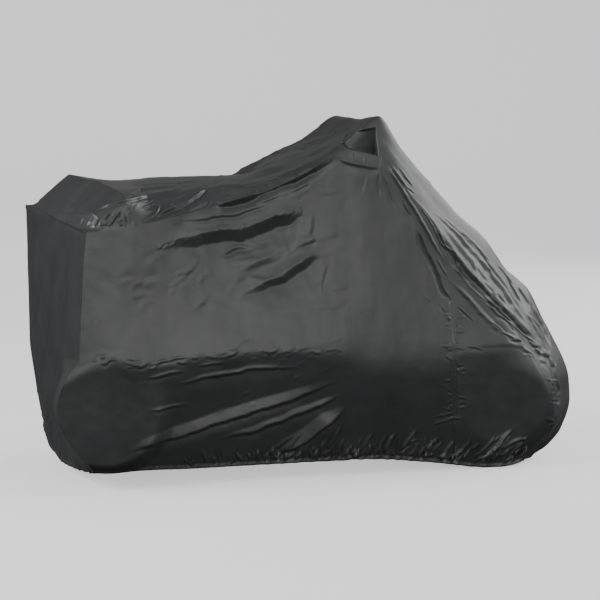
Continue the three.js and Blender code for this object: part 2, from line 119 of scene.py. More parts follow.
# The lights
# White walls round the studio from the horizon up, brightest behind the camera and to its right,
# over a dark ground, with large soft lights round the cover.
WALL_SIDE = (0.42, -0.90, 0.10)
GROUND_TO_CEILING = [(0.0, 0.03), (0.49, 0.05), (0.53, 0.95), (0.66, 0.90), (0.82, 0.42), (1.0, 0.24)]
FAR_TO_NEAR = [(0.0, 0.035), (0.40, 0.13), (0.72, 0.75), (1.0, 1.0)]
WORLD_STRENGTH = 1.25
world = bpy.data.worlds.new("studio")
bpy.context.scene.world = world
world.use_nodes = True


def node(tree, kind, sockets, **settings):
    """A new node with its settings, its sockets given values or fed by other nodes' results."""
    made = tree.nodes.new("ShaderNode" + kind)
    for setting, value in settings.items():
        setattr(made, setting, value)
    for socket, value in sockets.items():
        if isinstance(value, bpy.types.NodeSocket):
            tree.links.new(value, made.inputs[socket])
        else:
            made.inputs[socket].default_value = value
    return made


sky = world.node_tree
sky_way = node(sky, "TexCoord", {}).outputs["Generated"]
sky_tones = []
for direction, stops in (((0.0, 0.0, 1.0), GROUND_TO_CEILING), (WALL_SIDE, FAR_TO_NEAR)):
    facing = node(sky, "VectorMath", {0: sky_way, 1: direction}, operation="DOT_PRODUCT").outputs["Value"]
    share = node(sky, "MapRange", {"Value": facing, "From Min": -1.0, "From Max": 1.0})
    ramp = node(sky, "ValToRGB", {"Fac": share.outputs["Result"]})
    while len(ramp.color_ramp.elements) < len(stops):
        ramp.color_ramp.elements.new(0.5)
    for element, (position, tone) in zip(ramp.color_ramp.elements, stops):
        element.position = position
        element.color = (tone, tone, tone, 1.0)
    sky_tones.append(ramp.outputs["Color"])
sky_tone = node(sky, "Math", dict(enumerate(sky_tones)), operation="MULTIPLY").outputs["Value"]
sky.links.new(sky_tone, sky.nodes["Background"].inputs["Color"])
sky.nodes["Background"].inputs["Strength"].default_value = WORLD_STRENGTH
LIGHTS = [
    # name, place, aim, width, height, watts, seen in sheen
    ("front", (6.2, 0.3, 4.3), (0.6, 0.0, 0.7), 5.6, 3.8, 370.0, True),
    ("rear", (-6.4, -0.8, 3.4), (-1.0, 0.0, 0.8), 4.6, 3.6, 500.0, True),
    ("camera side", (0.2, -8.2, 2.6), (-0.5, -0.4, 0.7), 4.4, 2.4, 150.0, True),
    ("far front", (6.0, 6.5, 3.6), (0.2, 0.4, 0.7), 3.6, 3.0, 120.0, True),
    ("far side", (-1.0, 17.0, 1.2), (-0.2, 0.4, 0.7), 9.0, 3.0, 1300.0, False),
]
for light_name, place, aim, width, height, watts, in_sheen in LIGHTS:
    light_data = bpy.data.lights.new(light_name, "AREA")
    light_data.shape = "RECTANGLE"
    light_data.size = width
    light_data.size_y = height
    light_data.energy = watts
    light = placed(light_name, light_data)
    light.location = place
    light.visible_camera = False
    light.visible_glossy = in_sheen
    towards = np.array(aim) - np.array(place)
    flat_run = math.hypot(towards[0], towards[1])
    light.rotation_euler = (math.atan2(flat_run, -towards[2]), 0.0, math.atan2(-towards[0], towards[1]))

# The shape of the side and front panels
# Four pieces of coated polyester cloth, two on each side, joined at an upright seam, that hang from
# the shoulder seams and are drawn in below by the elastic in their hem. Ribs run down them as the
# seams lie. Millimetres here, as on a cutting plan, with zero under the middle; DRAWING_SHIFT takes
# them into the part's frame.
DRAWING_SHIFT = np.array([-16.4, 1.7, -10.3])
MM = 0.001
WIDEST = 0.55  # where a rib is widest, as a share of its way down
# Half the share of a rib that the bend at its widest takes, against the widest line's x
ROUNDING = [(-1000, 0.02), (-150, 0.02), (150, 0.08), (420, 0.08), (500, 0.03), (800, 0.05), (890, 0.3)]
RIB_COLUMNS = (
    "topX topHalf topZ wideX wideHalf wideZ hemX hemHalf hemZ "
    "belly tuck heel farX farZ farWideX farHemX farHemZ farHeel"
).split()
RIBS = [
    [-945, 432, 970, -978, 466, 500, -915, 385, 80, 0, 8, 108, -66, 49, -18, -32, 50, 6],
    [-880, 433, 972, -900, 480, 503, -868, 375, 76, -4, 12, 60, -52, 42, -14, -14, 24, 4],
    [-775, 430, 985, -775, 490, 480, -755, 370, 73, -8, 14, 12, -25, 26, 0, 0, 4, 0],
    [-691, 425, 1000, -668, 490, 482, -645, 368, 72, -12, 12, 0, -10, 12, 0, 0, 0, 0],
    [-549, 415, 1030, -515, 489, 505, -495, 366, 70, -16, 8, 0, 0, 0, 0, 0, 0, 0],
    [-400, 400, 1066, -358, 490, 511, -340, 366, 70, -18, 6, 0, 4, 0, 0, 0, 0, 0],
    [-262, 392, 1101, -210, 491, 514, -200, 366, 70, -18, 6, 0, 10, 0, 0, 0, 0, 0],
    [-116, 385, 1158, -68, 492, 508, -64, 366, 70, -16, 6, 0, 18, 0, 0, 0, 0, 0],
    [27, 380, 1222, 80, 491, 492, 84, 368, 70, -14, 6, 0, 30, 0, 0, 0, 0, 0],
    [120, 384, 1205, 185, 489, 470, 180, 369, 68, -12, 6, 0, 42, 4, 0, 0, 0, 0],
    [205, 382, 1187, 275, 486, 458, 272, 370, 61, -12, 6, 0, 50, 6, 0, 0, 0, 0],
    [287, 385, 1119, 350, 483, 456, 350, 372, 52, -12, 6, 0, 48, 0, 0, 0, 0, 0],
    [359, 390, 1034, 412, 479, 466, 425, 374, 43, -10, 8, 0, 42, 0, 0, 0, 0, 0],
    [459, 395, 903, 475, 474, 484, 505, 376, 31, -8, 10, 0, 34, 0, 0, 0, 0, 0],
    [607, 400, 730, 602, 472, 498, 592, 378, 18, -4, 14, 0, 22, 0, 0, 0, 0, 0],
    [705, 405, 630, 702, 462, 500, 660, 378, 12, 0, 14, -8, 12, 0, 0, 0, 0, 0],
    [798, 405, 533, 795, 436, 466, 712, 378, 12, 0, 12, -24, 6, 0, 0, 0, 0, 0],
    [854, 405, 465, 856, 420, 392, 752, 377, 16, 0, 10, -42, 0, 0, 0, 0, 0, 0],
    [892, 405, 396, 904, 404, 300, 787, 375, 26, 0, 6, -58, 0, 0, 0, 0, 0, 0],
]
SEAM_RIB = 13  # the upright seam between side and front panel
HEEL_SHAPE = 0.85  # below 1 the heel fills out soon below the widest line
NOSE_SWELL = (0.42, 0.74)  # shares of a rib's way down between which the nose swells out
ribs = dict(zip(RIB_COLUMNS, np.array(RIBS, float).T))


def smooth(value, low, high):
    """0 up to low, 1 from high on, and an even change between them."""
    share = np.clip((value - low) / (high - low), 0.0, 1.0)
    return share * share * (3 - 2 * share)


def through(knots, values, at):
    """Values at `at` of a smooth curve through values at knots, which never swings past them."""
    knots = np.asarray(knots, float)
    values = np.asarray(values, float)
    spare = (1,) * (values.ndim - 1)
    step = np.diff(knots).reshape((-1,) + spare)
    secant = np.diff(values, axis=0) / step
    product = secant[:-1] * secant[1:]
    total = np.where(product > 0, secant[:-1] + secant[1:], 1.0)
    inner = np.where(product > 0, 2 * product / total, 0.0)
    slope = np.concatenate([secant[:1], inner, secant[-1:]])
    at = np.asarray(at, float)
    i = np.clip(np.searchsorted(knots, at) - 1, 0, len(knots) - 2)
    t = ((at - knots[i]) / (knots[i + 1] - knots[i])).reshape((-1,) + spare)
    span = step[i]
    return (
        (2 * t**3 - 3 * t**2 + 1) * values[i]
        + (t**3 - 2 * t**2 + t) * span * slope[i]
        + (-2 * t**3 + 3 * t**2) * values[i + 1]
        + (t**3 - t**2) * span * slope[i + 1]
    )


rib_steps = np.sqrt(
    np.diff(ribs["topX"]) ** 2 + np.diff(ribs["topZ"]) ** 2 + (0.5 * np.diff(ribs["wideX"])) ** 2
)
rib_way = np.concatenate([[0.0], np.cumsum(rib_steps)])
rib_knots = rib_way / rib_way[-1]


def bent(a, b, c, at, rounding):
    """Straight from a over b to c down each rib, with the bend at b rounded."""
    first = WIDEST - rounding
    last = WIDEST + rounding
    at = at[:, None]
    upper = a + (b - a) * at / WIDEST
    lower = b + (c - b) * (at - WIDEST) / (1 - WIDEST)
    t = np.clip((at - first) / (last - first), 0.0, 1.0)
    start = a + (b - a) * first / WIDEST
    end = b + (c - b) * (last - WIDEST) / (1 - WIDEST)
    curve = (start + (b - start) * t) * (1 - t) + (b + (end - b) * t) * t
    return np.where(at <= first, upper, np.where(at >= last, lower, curve))


def skirt_points(side, down, along):
    """Points of the skirt, down x along. side is -1 on the right and 1 on the left."""
    far = 1.0 if side > 0 else 0.0
    down = np.asarray(down, float)
    value = {name: through(rib_knots, ribs[name], along) for name in RIB_COLUMNS}
    upper = np.sin(np.pi * np.minimum(down / WIDEST, 1))[:, None]
    rounding = np.interp(value["wideX"], *zip(*ROUNDING))
    lower = np.sin(np.pi * np.maximum((down - WIDEST) / (1 - WIDEST), 0) ** HEEL_SHAPE)[:, None]
    half = bent(value["topHalf"], value["wideHalf"], value["hemHalf"], down, rounding)
    half = half + value["belly"] * upper + value["tuck"] * lower
    top_x = value["topX"] + far * value["farX"]
    wide_x = value["wideX"] + far * value["farWideX"]
    hem_x = value["hemX"] + far * value["farHemX"]
    top_z = value["topZ"] + far * value["farZ"]
    hem_z = value["hemZ"] + far * value["farHemZ"]
    nose_swell = smooth(down, *NOSE_SWELL)[:, None] * smooth(1 - down, 0, 1 - NOSE_SWELL[1])[:, None]
    heel = value["farHeel" if far else "heel"]
    x = bent(top_x, wide_x, hem_x, down, rounding) - heel * np.where(heel < 0, nose_swell, lower)
    z = bent(top_z, value["wideZ"], hem_z, down, rounding)
    return np.stack([x, side * half, z], -1)


# The shape of the top panel
# One strip of the same cloth, from the rear seam over the peak and down the nose to the front hem.
# Crossings run over it from one shoulder seam to the other, first over the ribs and then down the
# nose, whose rows are shares of the way down.
CROSSING_COLUMNS = "sideX sideHalf sideZ midX midZ farSideX farSideHalf farSideZ lip".split()
CROSSINGS = [
    [-957, 270, 980, -976, 996, -993, 260, 1010, 0],
    [-912, 385, 1034, -940, 1040, -964, 385, 1040, 18],
    [-803, 385, 1108, -822, 1134, -844, 385, 1140, 24],
    [-692, 335, 1092, -690, 1126, -705, 330, 1114, 6],
    [-553, 305, 1108, -562, 1140, -560, 300, 1114, 4],
    [-400, 280, 1122, -390, 1144, -372, 280, 1122, 4],
    [-258, 285, 1136, -225, 1148, -170, 285, 1128, 6],
    [-96, 305, 1194, -86, 1198, -58, 292, 1190, 12],
    [48, 328, 1268, 62, 1256, 84, 305, 1262, 14],
    [132, 340, 1328, 150, 1310, 168, 318, 1314, 10],
    [208, 334, 1380, 226, 1364, 258, 326, 1368, 8],
    [312, 312, 1254, 340, 1246, 362, 308, 1240, 12],
    [412, 290, 1150, 440, 1148, 452, 284, 1140, 10],
    [560, 258, 992, 596, 992, 590, 256, 984, 6],
    [694, 234, 885, 742, 878, 716, 236, 874, 2],
    [784, 224, 770, 836, 770, 800, 226, 764, 2],
    [876, 212, 698, 930, 692, 884, 214, 692, 4],
    [950, 228, 556, 1010, 560, 952, 228, 552, 8],
    [1018, 248, 426, 1070, 428, 1018, 245, 426, 12],
]
NOSE_COLUMNS = ["down"] + CROSSING_COLUMNS
NOSE = [
    [0, 1018, 248, 426, 1070, 428, 1018, 245, 426, 12],
    [0.3, 1046, 250, 332, 1091, 338, 1046, 250, 332, 14],
    [0.55, 1052, 252, 246, 1094, 254, 1052, 252, 246, 14],
    [0.8, 1012, 262, 134, 1058, 142, 1012, 262, 134, 12],
    [0.93, 944, 276, 66, 994, 70, 944, 276, 66, 8],
    [1, 872, 292, 32, 920, 34, 872, 292, 32, 2],
]
ACROSS_KNOTS = [0, 0.1, 0.22, 0.5, 0.78, 0.9, 1]
LIP_TURN = 0.7  # how far a lip stands out beyond the straight from seam to shoulder
CRISP = 0.85  # how straight the cloth lies between the crossings at the rear
CRISP_RIBS = 4
crossings = dict(zip(CROSSING_COLUMNS, np.array(CROSSINGS, float).T))
nose = dict(zip(NOSE_COLUMNS, np.array(NOSE, float).T))


def crossing_points(edge_right, edge_left, value, across):
    """Points over the top, row x across, between the right edge (0) and the left edge (1)."""
    shoulder = np.stack([value["sideX"], -value["sideHalf"], value["sideZ"]], -1)
    far_shoulder = np.stack([value["farSideX"], value["farSideHalf"], value["farSideZ"]], -1)
    middle = np.stack([value["midX"], 0 * value["midX"], value["midZ"]], -1)
    turn = value["lip"][:, None] * LIP_TURN
    cheek = (edge_right + shoulder) / 2 + turn * np.array([0, -1, 1])
    far_cheek = (edge_left + far_shoulder) / 2 + turn * np.array([0, 1, 1])
    line = np.stack([edge_right, cheek, shoulder, middle, far_shoulder, far_cheek, edge_left])
    return through(ACROSS_KNOTS, line, across).transpose(1, 0, 2)


def top_points(along, down, across):
    """Points of the top panel: rows over the ribs, then rows down the nose."""
    crisp = CRISP * smooth(rib_knots[CRISP_RIBS] - along, 0, rib_knots[1])
    value = {}
    for name in CROSSING_COLUMNS:
        straight = np.interp(along, rib_knots, crossings[name])
        value[name] = through(rib_knots, crossings[name], along) * (1 - crisp) + crisp * straight
    edges = [skirt_points(side, [0.0], along)[0] for side in (-1, 1)]
    over = crossing_points(edges[0], edges[1], value, across)
    value = {name: through(nose["down"], nose[name], down) for name in CROSSING_COLUMNS}
    edges = [skirt_points(side, down, [1.0])[:, 0] for side in (-1, 1)]
    return np.concatenate([over, crossing_points(edges[0], edges[1], value, across)])


# The shape of the rear panel
# One piece of the same cloth, sewn in between the rear ends of the sides and of the top. It hangs
# straight from its seam to its hem and bulges a little.
REAR_HEM = [[-936, -200, 58], [-952, 0, 52], [-960, 220, 74]]
REAR_BULGE = 20
CORNER_REACH = 0.42  # share of the width over which it follows the corner seam


def rear_points(down, across):
    """Points of the rear panel, down x across."""
    down = np.asarray(down, float)
    top = top_points([0.0], [0.0], across)[0]
    corners = [skirt_points(side, [1.0], [0.0])[0, 0] for side in (-1, 1)]
    hem = np.array([corners[0]] + REAR_HEM + [corners[1]])
    hem_line = through(np.linspace(0, 1, len(hem)), hem, across)
    points = top[None] + (hem_line - top)[None] * down[:, None, None]
    for side in (-1, 1):
        corner = skirt_points(side, down, [0.0])
        ruled = corner[:1] + (skirt_points(side, [1.0], [0.0]) - corner[:1]) * down[:, None, None]
        away = across if side < 0 else 1 - across
        points = points + (corner - ruled) * (1 - smooth(away, 0, CORNER_REACH))[None, :, None]
    points[..., 0] -= REAR_BULGE * np.sin(np.pi * down)[:, None] * np.sin(np.pi * across)[None]
    return points


# The nets of the six panels
# Every panel is laid out as rows and columns of points over the form. Panels that meet at a seam
# share the seam's points; the right side and the top are twice as fine as the others.
ALONG_STEPS = 640
DOWN_STEPS = 104
ACROSS_COLUMNS = 128
ACROSS_SPACING = ([0, 0.55, 1], [0, 0.33, 1])  # columns lie closer together on the right
SEAM_STEP = 2 * int(round(rib_knots[SEAM_RIB] * ALONG_STEPS / 2))
fine_along = np.linspace(0, 1, ALONG_STEPS + 1)
fine_down = np.linspace(0, 1, 2 * DOWN_STEPS + 1)
along = fine_along[::2]
down = fine_down[::2]
across = through(*ACROSS_SPACING, np.linspace(0, 1, ACROSS_COLUMNS + 1))
nets = {
    "side_panel_right": skirt_points(-1, fine_down, fine_along[: SEAM_STEP + 1]),
    "front_panel_right": skirt_points(-1, fine_down, fine_along[SEAM_STEP:]),
    "side_panel_left": skirt_points(1, down, along[: SEAM_STEP // 2 + 1]),
    "front_panel_left": skirt_points(1, down, along[SEAM_STEP // 2:]),
    "top_panel": top_points(fine_along, down[1:], across),
    "rear_panel": rear_points(down, across),
}
OUTWARD = dict(zip(nets, (1, 1, -1, -1, 1, -1)))  # which face of each net looks out
nets = {name: net + DRAWING_SHIFT for name, net in nets.items()}
BROW_REACH = 7  # rows either way that soften the turn from the slope into the nose
BROW_ROUNDS = 3
BROW_EDGE = 0.06  # share of the width at either edge that keeps to the seam
for _ in range(BROW_ROUNDS):
    soft = nets["top_panel"].copy()
    for row in range(ALONG_STEPS - 3 * BROW_REACH, ALONG_STEPS + 2 * BROW_REACH):
        soft[row] = nets["top_panel"][row - BROW_REACH:row + BROW_REACH + 1].mean(0)
    inward = smooth(np.minimum(across, 1 - across), 0.0, BROW_EDGE)[None, :, None]
    nets["top_panel"] += inward * (soft - nets["top_panel"])
SAME_PLACE = 0.02  # points of two panels closer than this are one
SHORTEST = 1e-9  # keeps a direction without length from being divided by nothing


def same_points(nets):
    """For every point of every net, the number of the place that it shares with others."""
    keys = np.round(np.concatenate([net.reshape(-1, 3) for net in nets.values()]) / SAME_PLACE)
    _, same = np.unique(keys.astype(np.int64), axis=0, return_inverse=True)
    return same.reshape(-1)


def shared_directions(nets, same):
    """Outward directions at every point, the same on both panels at a seam."""
    pushes = []
    for name, net in nets.items():
        face = np.cross(net[1:, 1:] - net[:-1, :-1], net[:-1, 1:] - net[1:, :-1]) * OUTWARD[name]
        push = np.zeros_like(net)
        for rows in (slice(0, -1), slice(1, None)):
            for columns in (slice(0, -1), slice(1, None)):
                push[rows, columns] += face
        pushes.append(push.reshape(-1, 3))
    pushes = np.concatenate(pushes)
    joined = np.stack([np.bincount(same, weights=pushes[:, axis]) for axis in range(3)], -1)
    joined /= np.maximum(np.linalg.norm(joined, axis=1, keepdims=True), SHORTEST)
    return split_up(joined[same], nets)


def split_up(values, nets):
    """Values at all points, one after the other, as one array for each net."""
    parts = {}
    start = 0
    for name, net in nets.items():
        count = net.shape[0] * net.shape[1]
        parts[name] = values[start:start + count].reshape(net.shape[:2] + values.shape[1:])
        start += count
    return parts


def settle_seams(shapes):
    """Where a panel meets one half as fine, its odd points lie on the straight between others."""
    right = shapes["side_panel_right"]
    right[1:-1:2, 0] = (right[:-2:2, 0] + right[2::2, 0]) / 2
    right = shapes["front_panel_right"]
    right[1:-1:2, -1] = (right[:-2:2, -1] + right[2::2, -1]) / 2
    top = shapes["top_panel"][: ALONG_STEPS + 1, -1]
    top[1:-1:2] = (top[:-2:2] + top[2::2]) / 2


same = same_points(nets)
directions = shared_directions(nets, same)

# The rounds low on the sides
# At front and rear the tucked skirt is pushed out sideways in flat discs, whose outer edges reach
# the corner seams.
ROUNDS = [
    # x, z, radius, half, full, lean, edge, reach
    (-862, 290, 252, 490, 505, 0.11, 76, 0.74),
    (690, 260, 234, 474, 500, 0.13, 100, 0.80),
]
ROUND_FOLLOW = 120  # how far in from a seam the next panel follows the push


def round_push(name, net):
    """How far each point is pushed sideways, away from the middle."""
    drawn = net - DRAWING_SHIFT
    if name in ("top_panel", "rear_panel"):
        drawn = drawn[:, [0, -1]]
    push = np.zeros(drawn.shape[:2])
    for x, z, radius, half, full, lean, edge, reach in ROUNDS:
        off = drawn[..., 0] - x
        off = np.where(off * x > 0, reach * off, off)
        away = np.hypot(off, drawn[..., 2] - z)
        face_half = half + lean * np.minimum(drawn[..., 2] - full, 0)
        push += smooth(radius - away, 0, edge) * np.maximum(face_half - np.abs(drawn[..., 1]), 0)
    if name in ("top_panel", "rear_panel"):
        follow = [1 - smooth(np.abs(net[..., 1] - net[:, [end], 1]), 0, ROUND_FOLLOW) for end in (0, -1)]
        push = push[:, :1] * follow[0] + push[:, 1:] * follow[1]
    return push * np.sign(net[..., 1])


# Folds of the drape
# Each is drawn as the line of its crest, and its profile is in millimetres of cloth: over is the
# width that rises to the crest, fall the width of its face, foot the width that the trough below
# takes to run out, high and low the heights of crest and trough. Going along the line, over lies
# to its left. lead and trail are the shares of the line over which it grows and dies out. flat
# is 1 where the rise is a flat band and over 1 where it curves up to the crest.
FOLD_COLUMNS = ("over", "fall", "foot", "high", "low", "lead", "trail", "flat")
LINE_STEPS = 5
PROFILE_STEP = 0.5
PROFILE_SPARE = 8.0
PROFILE_SOFT = (2.0, 0.25)  # rounding of a section, at most, and as a share of its face
RUN_OUT = 1.7
SLIMMEST = 0.25  # width that a fold keeps at its ends
WOBBLES = [(43.0, 0.9), (97.0, 1.8), (210.0, 3.2)]
WOBBLE_SHARE = 0.08  # of the face, at most
WOBBLE_FADE = 6.0
WOBBLE_START = 2.4


def path(text):
    """Points of a line that is written as x,y pairs."""
    return np.array([point.split(",") for point in text.split()], float)


def folds(rows, *ends):
    """Folds with their profiles; ends are lead, trail and flat where a row leaves them out."""
    return [(path(row[0]), dict(zip(FOLD_COLUMNS, row[1:] + ends[len(row) - 6:]))) for row in rows]


def fold_profile(fold):
    """Offsets and heights of a fold's section."""
    back = fold["fall"] + fold["foot"] + PROFILE_SPARE
    off = np.arange(-back, fold["over"] + PROFILE_SPARE, PROFILE_STEP)
    rise = fold["high"] * np.clip(1 - off / fold["over"], 0, 1) ** fold["flat"]
    drop = fold["high"] + (fold["low"] - fold["high"]) * np.clip(-off / fold["fall"], 0, 1)
    run_out = fold["low"] * np.clip(1 - (-off - fold["fall"]) / fold["foot"], 0, 1) ** RUN_OUT
    section = np.where(off >= 0, rise, np.where(off >= -fold["fall"], drop, run_out))
    reach = int(round(min(PROFILE_SOFT[0], PROFILE_SOFT[1] * fold["fall"]) / PROFILE_STEP))
    kernel = np.hanning(2 * reach + 3)
    padded = np.pad(section, reach + 1, mode="edge")
    return off, np.convolve(padded, kernel / kernel.sum(), mode="valid")


def fold_height(spot, line, fold, unit, seed):
    """Height of one fold at spots of the drawing it is drawn on, unit millimetres to one."""
    line = np.array(line, float)
    knots = np.arange(len(line))
    line = through(knots, line, np.linspace(0, len(line) - 1, LINE_STEPS * (len(line) - 1) + 1))
    reach = max(fold["over"], fold["fall"] + fold["foot"]) / unit + 2
    near = np.flatnonzero(((spot > line.min(0) - reach) & (spot < line.max(0) + reach)).all(1))
    here = spot[near]
    best = np.full(len(here), np.inf)
    off = np.zeros(len(here))
    way = np.zeros(len(here))
    run = 0.0
    for start, end in zip(line[:-1], line[1:]):
        leg = end - start
        length = np.hypot(*leg)
        step = here - start
        share = np.clip((step @ leg) / (length * length), 0.0, 1.0)
        gap = step - share[:, None] * leg
        distance = np.hypot(gap[:, 0], gap[:, 1])
        side = np.sign(leg[1] * step[:, 0] - leg[0] * step[:, 1])
        closer = distance < best
        best = np.where(closer, distance, best)
        off = np.where(closer, side * distance, off)
        way = np.where(closer, run + share * length, way)
        run += length
    off *= unit
    share = way / run
    way *= unit
    fade = smooth(share, 0.0, fold["lead"]) * smooth(1 - share, 0.0, fold["trail"])
    slim = SLIMMEST + (1 - SLIMMEST) * np.sqrt(fade)
    for pitch, swing in WOBBLES:
        swing = min(swing, WOBBLE_SHARE * fold["fall"]) * np.exp(-np.maximum(off, 0) / WOBBLE_FADE)
        off = off + swing * np.sin(2 * np.pi * way / pitch + WOBBLE_START * seed + pitch)
    height = np.zeros(len(spot))
    height[near] = fade * np.interp(off / slim, *fold_profile(fold), left=0.0, right=0.0)
    return height


# Folds that show from the camera's side are drawn on a picture of the cover as seen from there, 600
# pixels wide. Each row is the line of its crest and its profile's columns; lead, trail and flat are
# left out where they are the ones that the whole group has.
PICTURE = 600
# The long troughs of the side
LONG_TROUGHS = [
    ("150,250 170,242 190,236 215,231 240,228 262,221 282,214 303,211",
     90, 50, 130, 9, -12, 0.45, 0.13, 2.2),
    ("216,255 228,251 240,246 258,247", 12, 16, 20, 2, -5),
    ("236,297 246,292 262,284 280,275 296,265 310,257 322,253", 70, 34, 110, 8, -9, 0.5, 0.22, 2),
    ("211,207 216,202 232,201 248,196 262,189 280,182 300,174 320,165 340,156",
     30, 22, 30, 8, -10, 0.12, 0.3, 1.6),
    ("176,220 200,219 215,216 235,214 252,208 270,204 284,198", 16, 12, 18, 2.5, -3.5),
    ("212,219 222,222 234,219", 8, 8, 12, 1.5, -2.5, 0.4, 0.4, 1.4),
    ("286,194 300,187 314,180", 12, 9, 12, 2.5, -3),
    ("250,205 268,200 286,191", 10, 8, 10, 2, -2.5),
    ("296,248 306,243 318,238", 24, 12, 24, 2.5, -2.5, 0.4, 0.3, 1.6),
    ("215,287 250,266 285,247 316,233", 70, 40, 60, 3.5, -1),
    ("230,272 255,262 285,254", 40, 24, 40, 2, -1.5),
    ("285,218 292,212 298,208", 5, 5, 6, 1.5, -1.5, 0.3, 0.3, 1.3),
    ("291,221 297,215 304,213", 5, 5, 6, 1.5, -1.5, 0.3, 0.3, 1.3),
    ("262,228 266,224 268,219", 5, 5, 6, 1.5, -1.5, 0.3, 0.3, 1.3),
    ("308,240 310,228 312,214", 22, 16, 22, 2, -1.5),
    ("320,296 322,280 328,260", 12, 9, 14, 1.6, -1.5),
]
# The wrinkles that run forward from the rear corner
REAR_WRINKLES = [
    ("86,212 104,206 125,200 145,196 165,192 184,187", 10, 9, 14, 3.5, -2, 0.3, 0.3, 1.3),
    ("150,219 166,211 184,204 200,193 209,186", 16, 8, 14, 7, -7, 0.3, 0.2, 1.2),
    ("156,216 172,208 186,200 196,192", 8, 6, 8, 3, -2, 0.3, 0.3, 1.2),
    ("186,212 198,206 211,200", 11, 7, 10, 4.5, -5.5, 0.3, 0.3, 1.3),
    ("205,208 210,203 214,199", 6, 5, 7, 2, -3, 0.3, 0.3, 1.3),
    ("160,203 176,197 196,188 206,186", 12, 12, 10, 3, -1, 0.3, 0.3, 1),
    ("124,191 150,187 182,184", 12, 9, 12, 4, -6, 0.3, 0.3, 1.4),
    ("130,186 160,183 200,181", 9, 7, 9, 3, -4, 0.3, 0.3, 1.4),
    ("205,190 226,186 250,185", 18, 16, 16, 6, -2, 0.4, 0.4, 1.2),
    ("222,196 240,190 262,184", 12, 9, 12, 6, -8),
    ("238,181 262,172 290,162", 24, 16, 16, 8, -4, 0.4, 0.4, 1.2),
    ("262,184 286,174 312,163", 12, 10, 10, 5, -3, 0.4, 0.4, 1.3),
    ("240,176 262,166 284,156", 10, 8, 10, 4, -6),
    ("286,152 310,143 333,135", 16, 16, 14, 6, -6),
    ("300,158 318,150 336,143", 10, 8, 10, 4, -5),
]
# The fan at the near rear corner
CORNER_FAN = [
    ("93,229 97,221 101,214", 9, 7, 9, 3, -3.5),
    ("104,221 107,216 111,212", 8, 6, 8, 3, -4, 0.35, 0.35, 1.3),
    ("107,229 113,220 122,210", 9, 7, 10, 4, -3, 0.4, 0.4, 1.2),
    ("116,219 118,214 120,209", 6, 5, 7, 2, -4),
    ("127,229 124,222 123,214", 8, 6, 9, 2, -4),
    ("131,210 132,206 134,202", 5, 4, 6, 2, -3),
    ("143,221 152,216 158,210 160,202", 9, 7, 9, 3, -4, 0.35, 0.3, 1.3),
    ("140,209 148,206 158,202", 8, 6, 8, 3, -3, 0.35, 0.3, 1.3),
    ("96,226 103,224 112,226", 6, 6, 8, 2, -2),
]
# The puckers over the rear seam
REAR_PUCKERS = [
    ("66,224 65,220 66,216", 5, 5, 6, 1.5, -3),
    ("70,225 70,220 72,216", 5, 4, 5, 2, -3),
    ("75,226 75,221 77,216", 5, 4, 5, 2, -3),
    ("80,227 81,222 84,216", 6, 4, 6, 2, -3),
    ("86,227 88,222 92,217", 6, 5, 7, 2.5, -3),
    ("36,216 34,212 33,207", 5, 5, 6, 2, -3),
    ("40,217 38,213 38,210", 4, 4, 5, 1.5, -3),
    ("45,217 44,213 45,210", 4, 4, 5, 1.5, -2),
    ("90,214 75,214.5 60,215 44,210", 40, 8, 10, 5, -2, 0.2, 0.2, 1.5),
    ("27,204 45,212 60,220 73,227 85,231.5", 5, 5, 9, 2, -5, 0.05, 0.05, 1.2),
]
# The bands that fan over the tucked lower side
LOWER_BANDS = [
    ("142,380 155,377.5 172,373 187,371", 11, 8, 16, 4, -2, 0.4, 0.3, 1),
    ("196,367 210,364 228,362.5", 9, 8, 14, 3, -2),
    ("170,386 190,382 205,377.5 222,374.5 240,372 250,369 275,368 304,368",
     16, 8, 50, 6, -5, 0.35, 0.35, 1),
    ("146,411 158,409 172,406 190,404", 10, 7, 16, 4, -1.5),
    ("124,450 150,442 175,435.5 200,427.5 220,420.5 240,414.5 262,407.5 285,400.5 308,392.5 324,386 340,380",
     38, 17, 34, 18, -9, 0.25, 0.35, 1),
    ("214,441 235,434.5 252,431 266,425 282,420 295,413.5 312,407.5 328,401 342,394.5",
     20, 14, 26, 10, -5, 0.35, 0.2, 1),
    ("274,452 290,448 303,440.5 312,434.5 322,426 335,417 347,404", 44, 15, 24, 23, -5, 0.3, 0.35, 1),
    ("280,455 290,445 301,432", 4, 5, 8, 1, -5),
    ("262,461 272,451 284,442 296,432", 14, 8, 12, 4, -3, 0.35, 0.35, 1),
    ("330,448 336,434 342,424", 8, 7, 10, 3, -3, 0.35, 0.35, 1),
]
# The corner where the upright seam takes up the slope's folds
SEAM_FOLDS = [
    ("417,228 424,241 428,252 434,262 440,275 444,288 455,304", 16, 9, 26, 2, -8, 0.2, 0.2, 1.5),
    ("437,299 446,312 453,328", 10, 8, 16, 1.5, -3, 0.4, 0.3, 1.5),
    ("424,290 432,304 440,318", 12, 9, 18, 1.5, -2, 0.4, 0.4, 1.5),
    ("455,304 462,310 470,317 477,324", 8, 6, 10, 2, -3),
    ("455,325 459,326 464,329", 5, 5, 6, 1.5, -2),
    ("466,346 474,347 484,351", 7, 6, 9, 2, -2),
    ("430,418 445,415 456,412", 7, 6, 10, 2.5, -2, 0.3, 0.2, 1),
    ("428,425 445,421 455,418 469,420", 7, 6, 10, 3, -2, 0.3, 0.3, 1),
]
